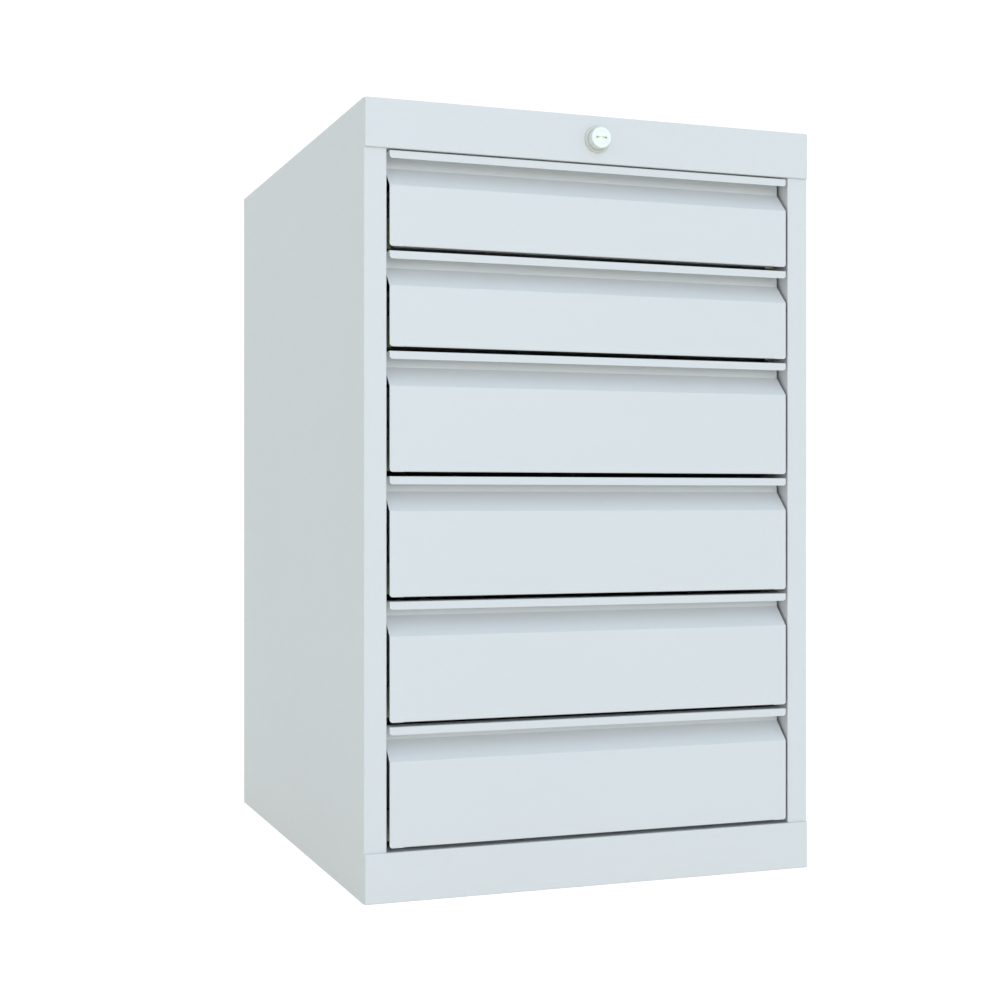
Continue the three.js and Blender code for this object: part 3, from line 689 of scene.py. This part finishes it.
for number in DRAWERS:
    low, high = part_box(f"drawer_tray_{number}")
    body = f"drawer_{number}"
    wall = high.x - SHEET / 2
    floor = low.z + SHEET / 2
    rim = high.z - RIM_BELOW_FRONT - SHEET / 2
    front, back = low.y + SHEET / 2, high.y - TAB_REACH - SHEET / 2
    strip = folded_sheet(
        f"tray_{number}_floor_and_sides", light_grey, "y",
        [(-wall - HEM, rim - HEM_DROP), (-wall - HEM, rim), (-wall, rim), (-wall, floor),
         (wall, floor), (wall, rim), (wall + HEM, rim), (wall + HEM, rim - HEM_DROP)],
        lambda marks: rectangle((0, marks[-1]), (front + SHEET / 2 + 0.0001, back - SHEET / 2 - 0.0001)),
        radius=TRAY_BEND)
    fit(strip, body, "powder_coat", f"drawer_tray_{number}")
    upper = floor + SHEET + 0.0001
    front_wall = folded_sheet(
        f"tray_{number}_front_wall", light_grey, "x",
        [(front + WALL_FLANGE, upper), (front, upper), (front, high.z)],
        lambda marks: mirrored([
            (0, wall - WALL_INSET), (marks[1], wall - WALL_INSET), (marks[1] + 0.001, wall + SHEET / 2),
            (marks[2] - 0.004, wall + SHEET / 2), (marks[2], wall - 0.0035)]), radius=TRAY_BEND)
    fit(front_wall, body, "powder_coat")
    back_wall = folded_sheet(
        f"tray_{number}_back_wall", light_grey, "x",
        [(back - WALL_FLANGE, upper), (back, upper), (back, rim), (back + HEM, rim),
         (back + HEM, rim - HEM_DROP)],
        lambda marks: mirrored([
            (0, wall - WALL_INSET), (marks[1], wall - WALL_INSET), (marks[1] + 0.001, wall + SHEET / 2),
            (marks[4], wall + SHEET / 2)]), radius=TRAY_BEND)
    fit(back_wall, body, "powder_coat")
    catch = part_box(f"drawer_front_{number}")[0].z + CATCH_RISE + SHEET / 2
    behind = back + SHEET
    tab = folded_sheet(
        f"tray_{number}_catch", light_grey, "x",
        [(behind, catch + CATCH_FLANGE), (behind, catch), (back + SHEET / 2 + TAB_REACH, catch)],
        lambda marks: rectangle((0, marks[-1]), (-TAB_HALF, TAB_HALF)), radius=TRAY_BEND,
        holes=[lambda marks: rectangle(
            [marks[-1] - ahead for ahead in TAB_HOLE], (-TAB_HOLE_HALF, TAB_HOLE_HALF))])
    fit(tab, body, "powder_coat")

# ---- Slides ---------------------------------------------------------------------------------------
# Full-extension ball slides, roll-formed from 1.1 mm strip and zinc plated with a yellow passivation:
# a cabinet rail screwed to the stile returns, a middle rail, and a drawer rail screwed to the tray.
# Steel balls run in the corners between them.
RAIL_SHEET = 0.0011
RAIL_BEND = 0.0009
SLIDE_HALF = 0.0175
CABINET_MEMBER_DEPTH = 0.007
CABINET_LIP = 0.003
MIDDLE_LIP = 0.0026
CABINET_HOLES = [(0.019, 0.0023), (0.083, 0.0032), (0.115, 0.0023),
                 (0.435, 0.0023), (0.467, 0.0032), (0.531, 0.0023)]
MIDDLE_HOLES = [(0.020, 0.0042), (0.250, 0.0042), (0.480, 0.0042)]
DRAWER_HOLES = [(0.060, 0.0032), (0.300, 0.0032), (0.520, 0.0032)]


def zinc_plate():
    """Zinc with a yellow passivation that goes from olive to straw, over the lines of rolled strip."""
    material, tree, shader = new_material("yellow zinc plate")
    where = node(tree, "ShaderNodeTexCoord").outputs["Object"]
    lines = stretched_noise(tree, where, (420, 7, 420), 4.0, 3.0)
    cloud = noise(tree, where, 26.0, 4.0)
    bands = node(tree, "ShaderNodeValToRGB", {"Fac": cloud})
    ramp = bands.color_ramp
    ramp.elements[0].position, ramp.elements[0].color = 0.34, (0.33, 0.34, 0.23, 1)
    ramp.elements[1].position, ramp.elements[1].color = 0.66, (0.56, 0.52, 0.33, 1)
    ramp.elements.new(0.5).color = (0.45, 0.46, 0.33, 1)
    worn = grouped(tree, EDGE_MASK, Strength=0.7)["Mask"]
    dusty = grouped(tree, DUST_FILM, Amount=0.18)["Mask"]
    bright = mixed_colour(tree, worn, bands.outputs["Color"], (0.62, 0.62, 0.58, 1))
    tree.links.new(mixed_colour(tree, dusty, bright, (0.40, 0.38, 0.34, 1)), shader["Base Color"])
    rough = calculate(tree, "ADD", 0.24, calculate(tree, "MULTIPLY", lines, 0.26))
    tree.links.new(rough, shader["Roughness"])
    bump = node(tree, "ShaderNodeBump", {"Height": lines, "Strength": 0.25, "Distance": 0.00003})
    tree.links.new(bump.outputs[0], shader["Normal"])
    shader["Metallic"].default_value = 0.7
    return material


yellow_zinc = zinc_plate()
ball_steel = bare_metal("ball steel", (0.62, 0.62, 0.62), 0.16, "y", 0.03)


def rail(name, corners, low_y, high_y, web_leg, holes):
    """One member of a slide; holes are (distance from its front end, radius) down the middle of its web."""
    def hole(distance, radius):
        return lambda marks: round_hole((marks[web_leg] + marks[web_leg + 1]) / 2, low_y + distance, radius)

    return folded_sheet(
        name, yellow_zinc, "y", corners, lambda marks: rectangle((0, marks[-1]), (low_y, high_y)),
        holes=[hole(distance, radius) for distance, radius in holes],
        thickness=RAIL_SHEET, radius=RAIL_BEND, steps=4)


def screw_head():
    """A low head with a cross in it, its underside at the origin, that clears the middle member."""
    mesh = turned_mesh("screw_head", [
        (0, 0), (0.0034, 0), (0.0034, 0.0003), *arc((0.0028, 0.0003), 0.0006, 0, 90, 4), (0, 0.0009)], 18)
    shape = bmesh.new()
    shape.from_mesh(mesh)
    for turn in (0, 90):
        arm = bmesh.ops.create_cube(shape, size=1.0, matrix=Matrix.Rotation(math.radians(turn), 4, "Z")
                                    @ Matrix.Diagonal((0.0034, 0.0006, 0.0001, 1)))
        bmesh.ops.translate(shape, verts=arm["verts"], vec=(0, 0, 0.00091))
    shape.to_mesh(mesh)
    shape.free()
    return mesh


for number in DRAWERS:
    for side, hand in ((-1, "left"), (1, "right")):
        name = f"{hand}_{number}"
        low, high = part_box(f"cabinet_rail_{name}")
        centre = (low.z + high.z) / 2
        web = side * (max(abs(low.x), abs(high.x)) - RAIL_SHEET / 2)
        reach = SLIDE_HALF - RAIL_SHEET / 2
        lip = web - side * (CABINET_MEMBER_DEPTH - RAIL_SHEET / 2)
        outer = rail(
            f"cabinet_member_{name}",
            [(lip, centre + reach - CABINET_LIP), (lip, centre + reach), (web, centre + reach),
             (web, centre - reach), (lip, centre - reach), (lip, centre - reach + CABINET_LIP)],
            low.y, high.y, 2, CABINET_HOLES)
        fit(outer, "cabinet", "zinc_plate", f"cabinet_rail_{name}")

        low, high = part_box(f"middle_rail_{name}")
        web = side * (max(abs(low.x), abs(high.x)) - RAIL_SHEET / 2)
        lip = side * (min(abs(low.x), abs(high.x)) + RAIL_SHEET / 2)
        reach = (high.z - low.z - RAIL_SHEET) / 2
        middle = rail(
            f"middle_member_{name}",
            [(lip, centre + reach - MIDDLE_LIP), (lip, centre + reach), (web, centre + reach),
             (web, centre - reach), (lip, centre - reach), (lip, centre - reach + MIDDLE_LIP)],
            low.y, high.y, 2, MIDDLE_HOLES)
        fit(middle, f"middle_rails_{number}", "zinc_plate", f"middle_rail_{name}")

        low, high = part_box(f"drawer_rail_{name}")
        web = side * (min(abs(low.x), abs(high.x)) + RAIL_SHEET / 2)
        lip = side * max(abs(low.x), abs(high.x))
        reach = (high.z - low.z - RAIL_SHEET) / 2
        inner = rail(
            f"drawer_member_{name}",
            [(lip, centre + reach), (web, centre + reach), (web, centre - reach), (lip, centre - reach)],
            low.y, high.y, 1, DRAWER_HOLES)
        fit(inner, f"drawer_{number}", "zinc_plate", f"drawer_rail_{name}")

# Each drawer member's front end carries a welded lug that closes the slide.
LUG_HALF = 0.0162
LUG_OUTER = 0.2257
for number in DRAWERS:
    low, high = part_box(f"drawer_rail_right_{number}")
    centre, front = (low.z + high.z) / 2, low.y - RAIL_SHEET / 2 - 0.0002
    lug_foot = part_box(f"drawer_front_{number}")[0].z + 0.0006 + RAIL_SHEET / 2
    for side, hand in ((-1, "left"), (1, "right")):
        across = sorted((side * (low.x + 0.0003), side * LUG_OUTER))
        lug = folded_sheet(
            f"drawer_lug_{hand}_{number}", yellow_zinc, "x",
            [(front + 0.006, lug_foot), (front, lug_foot), (front, centre + LUG_HALF)],
            lambda marks: rectangle((marks[1] - 0.0004, marks[-1]), across),
            thickness=RAIL_SHEET, radius=RAIL_BEND)
        fit(lug, f"drawer_{number}", "zinc_plate")

BALL = 0.0016
BALL_PITCH = 0.0052
OUTER_TRACK = 0.01468
INNER_TRACK = 0.0102


def ball_rows(from_middle, first, last, centre, rise):
    """The tracks above and below the middle of both slides of a drawer, as pairs of end points."""
    return [((side * from_middle, first, centre + up * rise), (side * from_middle, last, centre + up * rise))
            for side in (-1, 1) for up in (-1, 1)]


ball = turned_mesh("ball", arc((0, 0), BALL, -90, 90, 6), 10)
for number in DRAWERS:
    low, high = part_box(f"cabinet_rail_right_{number}")
    centre, outer_x, front = (low.z + high.z) / 2, high.x - 0.0052, low.y
    inner_x = high.x - 0.0080
    outer_rows = ball_rows(outer_x, front + 0.012, front + 0.122, centre, OUTER_TRACK)
    inner_rows = ball_rows(inner_x, front + 0.006, front + 0.116, centre, INNER_TRACK)
    outer_balls = fasteners(f"outer_balls_{number}", outer_rows, ball, BALL_PITCH, (0, 0, 0), ball_steel)
    fit(outer_balls, "cabinet", "zinc_plate")
    inner_balls = fasteners(f"inner_balls_{number}", inner_rows, ball, BALL_PITCH, (0, 0, 0), ball_steel)
    fit(inner_balls, f"middle_rails_{number}", "zinc_plate")

SCREW_START = 0.019
SCREW_SPACING = 0.512
screw = screw_head()
screw_zinc = bare_metal("screw zinc", (0.56, 0.57, 0.56), 0.30, "z")
for side, hand in ((-1, "left"), (1, "right")):
    web = side * (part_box("cabinet_rail_right_1")[1].x - RAIL_SHEET - 0.00005)
    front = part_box("cabinet_rail_right_1")[0].y
    rows = []
    for number in DRAWERS:
        low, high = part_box(f"cabinet_rail_{hand}_{number}")
        centre = (low.z + high.z) / 2
        first = front + SCREW_START
        rows.append(((web, first, centre), (web, first + SCREW_SPACING, centre)))
    screws = fasteners(
        f"slide_screws_{hand}", rows, screw, SCREW_SPACING, (0, math.radians(-90 * side), 0), screw_zinc)
    fit(screws, "cabinet", "zinc_plate")

# ---- Lock -----------------------------------------------------------------------------------------
# A push-button central lock: a die-cast sleeve with a collar, held behind the header by a nut, the
# nickel-plated button that slides in it, and the plug that the key turns, with brass in its keyway.
nickel = bare_metal("satin nickel", (0.80, 0.84, 0.79), 0.50, "x", 0.02, metallic=0.35, wear=0.2)
cast_zinc = bare_metal("die-cast zinc, satin", (0.64, 0.63, 0.575), 0.65, "y", 0.03, metallic=0.1, wear=0.0)
brass = bare_metal("brass", (0.90, 0.86, 0.50), 0.50, "y", 0.03, metallic=0.4)
PLUG_RADIUS = 0.0070
PLUG_BORE = 0.00703
PLUG_FACE = 0.0004
CORE_RADIUS = 0.0069
CORE_BACK = 0.0076
SLEEVE_RADIUS = 0.0127
SLEEVE_BACK = 0.024
THREAD_ROOT = 0.0122
THREAD_PITCH = 0.0014
THREADS = 14


def along_lock(name, outline, material, sides=72):
    """A turned part on the lock's axis, from (radius, distance behind the header's face)."""
    mesh = turned_mesh(name, [(radius, -depth) for radius, depth in outline], sides)
    mesh.transform(Matrix.Translation((0, header_y, lock_z)) @ Matrix.Rotation(math.radians(90), 4, "X"))
    return finished(linked(name, mesh, material), edge=0)


BORE = 0.01108
threads = []
for i in range(THREADS):
    threads += [(SLEEVE_RADIUS, 0.0040 + i * THREAD_PITCH), (THREAD_ROOT, 0.0047 + i * THREAD_PITCH)]
collar = along_lock("lock_collar", [
    (BORE, SLEEVE_BACK), (BORE, -0.0014), *arc((BORE + 0.0004, -0.0014), 0.0004, 180, 270, 4),
    *arc((0.0128, -0.0006), 0.0012, 270, 360, 6), (0.0140, -0.0002), (SLEEVE_RADIUS, -0.0002),
    (SLEEVE_RADIUS, 0.0035), *threads, (SLEEVE_RADIUS, SLEEVE_BACK), (BORE, SLEEVE_BACK)], cast_zinc)
fit(collar, "cabinet", "lock_nickel", "lock_housing")

button_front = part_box("lock_plunger")[0].y - header_y
button_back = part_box("lock_plunger")[1].y - header_y
button = along_lock("lock_button", [
    (0, 0.008), (PLUG_BORE, 0.008), (PLUG_BORE, button_front + 0.00003), (PLUG_BORE + 0.00003, button_front),
    *arc((0.0100, button_front + 0.0010), 0.0010, 270, 360, 6),
    (0.0110, button_back), (0, button_back)], nickel)
fit(button, "plunger", "lock_nickel", "lock_plunger")

KEYWAY_HALF, KEYWAY_HIGH = 0.0059, 0.0009
plug_face = folded_sheet(
    "key_plug_face", nickel, "x", [(0.0, -PLUG_RADIUS), (0.0, PLUG_RADIUS)],
    lambda marks: round_hole(PLUG_RADIUS, 0, PLUG_RADIUS, 72), thickness=PLUG_FACE,
    holes=[lambda marks: rectangle((PLUG_RADIUS - KEYWAY_HIGH, PLUG_RADIUS + KEYWAY_HIGH),
                                   (-KEYWAY_HALF, KEYWAY_HALF))])
plug_face.data.transform(Matrix.Translation((0, header_y + button_front + PLUG_FACE / 2, lock_z)))
fit(plug_face, "key_plug", "lock_nickel", "key_plug")
plug_front = button_front + PLUG_FACE
plug_core = along_lock("key_plug_core", [
    (0, plug_front), (CORE_RADIUS, plug_front), (CORE_RADIUS, CORE_BACK), (0, CORE_BACK)], brass, 40)
fit(plug_core, "key_plug", "lock_core")


NUT_CORNER = 0.0175
NUT_THICKNESS = 0.004


def hexagon(marks):
    turns = [math.radians(angle) for angle in range(0, 360, 60)]
    return [(NUT_CORNER + NUT_CORNER * math.cos(a), NUT_CORNER * math.sin(a)) for a in turns]


nut = folded_sheet(
    "lock_nut", nickel, "x", [(0.0, -NUT_CORNER), (0.0, NUT_CORNER)], hexagon, thickness=NUT_THICKNESS,
    holes=[lambda marks: round_hole(NUT_CORNER, 0, 0.0129, 36)])
nut.data.transform(Matrix.Translation((0, header_y + SHEET + 0.0022, lock_z)))
fit(nut, "cabinet", "lock_nickel")

# ---- Locking gear ---------------------------------------------------------------------------------
# The push rod, the bell crank on its bracket and the hooked bar are plain laser-cut steel, zinc plated.
for name in ("push_rod", "bell_crank", "crank_bracket", "locking_bar"):
    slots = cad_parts[name].data.materials
    slots.clear()
    slots.append(yellow_zinc)

# ---- Studio ---------------------------------------------------------------------------------------
# A pale floor that runs off into a white room, with cool daylight from above that is warmer towards the
# left, a soft cool light from the front and a faint warm one from the left. To the camera the floor and
# the room are lifted to paper white.
floor_mesh = bpy.data.meshes.new("studio_floor")
floor_mesh.from_pydata([(-40, -40, 0), (40, -40, 0), (40, 40, 0), (-40, 40, 0)], [], [(0, 1, 2, 3)])
floor_material, tree, shader = new_material("studio floor")
speckle = noise(tree, node(tree, "ShaderNodeTexCoord").outputs["Object"], 30.0, 3.0)
pale = mixed_colour(tree, speckle, (0.62, 0.60, 0.54, 1), (0.64, 0.62, 0.56, 1))
tree.links.new(pale, shader["Base Color"])
shader["Roughness"].default_value = 0.9
shader["Emission Strength"].default_value = 1.0
seen = node(tree, "ShaderNodeLightPath").outputs["Is Camera Ray"]
glow = mixed_colour(tree, seen, (0.30, 0.285, 0.25, 1), (0.62, 0.60, 0.66, 1))
tree.links.new(glow, shader["Emission Color"])
linked("studio_floor", floor_mesh, floor_material)

world = bpy.data.worlds.new("studio")
world.use_nodes = True
bpy.context.scene.world = world
tree = world.node_tree
direction = node(tree, "ShaderNodeSeparateXYZ", {0: node(tree, "ShaderNodeTexCoord").outputs["Generated"]})
height = node(tree, "ShaderNodeMapRange",
              {"Value": direction.outputs["Z"], "From Min": 0.0, "From Max": 0.45})
sideways = node(tree, "ShaderNodeMapRange", {"Value": direction.outputs["X"], "From Min": -1.0,
                                             "From Max": 0.2, "To Min": 0.4, "To Max": 0.0})
open_room = mixed_colour(tree, height.outputs[0], (0.82, 0.83, 0.82, 1), (0.81, 0.98, 1.13, 1))
room = mixed_colour(tree, sideways.outputs[0], open_room, (0.72, 0.66, 0.62, 1))
seen = node(tree, "ShaderNodeLightPath").outputs["Is Camera Ray"]
backdrop = mixed_colour(tree, seen, room, (1.05, 1.05, 1.05, 1))
tree.links.new(backdrop, tree.nodes["Background"].inputs["Color"])


def sun(name, strength, colour, toward, softness):
    light = bpy.data.lights.new(name, "SUN")
    light.energy, light.color, light.angle = strength, colour, math.radians(softness)
    lamp = bpy.data.objects.new(name, light)
    lamp.rotation_euler = Vector(toward).to_track_quat("-Z", "Y").to_euler()
    bpy.context.scene.collection.objects.link(lamp)


sun("front_light", 1.20, (0.94, 0.98, 1.09), (0.0, 1.0, -0.05), 50)
sun("left_light", 0.10, (1.0, 0.80, 0.50), (1.0, 0.15, -0.05), 60)
bpy.context.scene.view_settings.view_transform = "Standard"
